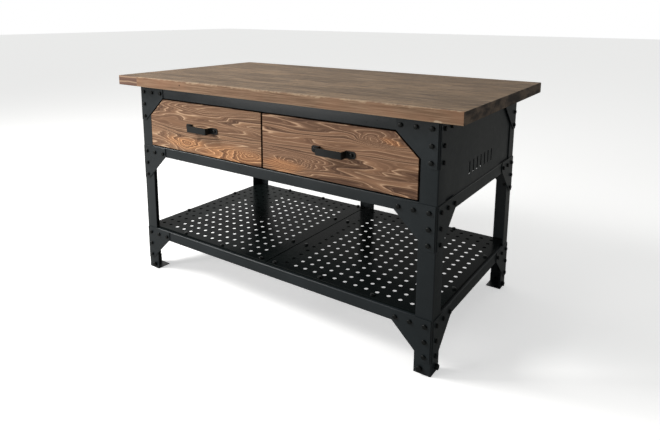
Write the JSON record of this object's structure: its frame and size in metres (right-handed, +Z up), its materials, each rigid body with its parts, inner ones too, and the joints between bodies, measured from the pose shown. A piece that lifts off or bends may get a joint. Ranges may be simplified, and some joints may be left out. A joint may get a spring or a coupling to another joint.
{
  "type": "workbench with drawers",
  "caption": "Wooden-topped workbench on a bolted steel angle frame, with side-by-side sliding drawers under the top and an open perforated storage shelf below.",
  "frame": {"origin": "on the floor, under the middle of the worktop", "axes": "+X along the length of the bench to the right as seen from the drawers, +Y from the drawer side to the back, +Z up"},
  "size_m": [1.6, 0.856, 0.9],
  "materials": {
    "bench_wood": "matt oiled, brown",
    "drawer_wood": "brushed and stained brown, satin",
    "frame_steel": "satin anthracite powder coat",
    "box_steel": "satin anthracite powder coat",
    "handle_steel": "matt black",
    "runner_steel": "zinc plated"
  },
  "bodies": {
    "frame": {"back_center_post": "frame_steel", "back_drawer_rail": "frame_steel", "back_left_foot": "frame_steel", "back_left_leg": "frame_steel", "back_panel": "frame_steel", "back_right_foot": "frame_steel", "back_right_leg": "frame_steel", "back_shelf_rail": "frame_steel", "back_top_rail": "frame_steel", "drawer_divider": "frame_steel", "front_drawer_rail": "frame_steel", "front_left_drawer_gusset": "frame_steel", "front_left_foot": "frame_steel", "front_left_leg": "frame_steel", "front_left_shelf_gusset": "frame_steel", "front_left_top_gusset": "frame_steel", "front_right_drawer_gusset": "frame_steel", "front_right_foot": "frame_steel", "front_right_leg": "frame_steel", "front_right_shelf_gusset": "frame_steel", "front_right_top_gusset": "frame_steel", "front_shelf_rail": "frame_steel", "front_top_rail": "frame_steel", "left_back_drawer_gusset": "frame_steel", "left_back_shelf_gusset": "frame_steel", "left_back_top_gusset": "frame_steel", "left_drawer_rail": "frame_steel", "left_front_drawer_gusset": "frame_steel", "left_front_shelf_gusset": "frame_steel", "left_front_top_gusset": "frame_steel", "left_inner_fixed_runner": "runner_steel", "left_outer_fixed_runner": "runner_steel", "left_shelf_rail": "frame_steel", "left_shelf_tray": "frame_steel", "left_side_panel": "frame_steel", "right_back_drawer_gusset": "frame_steel", "right_back_shelf_gusset": "frame_steel", "right_back_top_gusset": "frame_steel", "right_drawer_rail": "frame_steel", "right_front_drawer_gusset": "frame_steel", "right_front_shelf_gusset": "frame_steel", "right_front_top_gusset": "frame_steel", "right_inner_fixed_runner": "runner_steel", "right_outer_fixed_runner": "runner_steel", "right_shelf_rail": "frame_steel", "right_shelf_tray": "frame_steel", "right_side_panel": "frame_steel", "shelf_seam_channel": "frame_steel", "worktop": "bench_wood"},
    "left_drawer": {"left_drawer_front": "drawer_wood", "left_drawer_box": "box_steel", "left_handle": "handle_steel", "left_inner_drawer_runner": "runner_steel", "left_outer_drawer_runner": "runner_steel"},
    "right_drawer": {"right_drawer_front": "drawer_wood", "right_drawer_box": "box_steel", "right_handle": "handle_steel", "right_inner_drawer_runner": "runner_steel", "right_outer_drawer_runner": "runner_steel"}
  },
  "joints": [
    {"name": "left_drawer_slide", "type": "slide", "parent": "frame", "child": "left_drawer", "axis": [0, -1, 0], "range_m": [0, 0.45]},
    {"name": "right_drawer_slide", "type": "slide", "parent": "frame", "child": "right_drawer", "axis": [0, -1, 0], "range_m": [0, 0.45]}
  ]
}
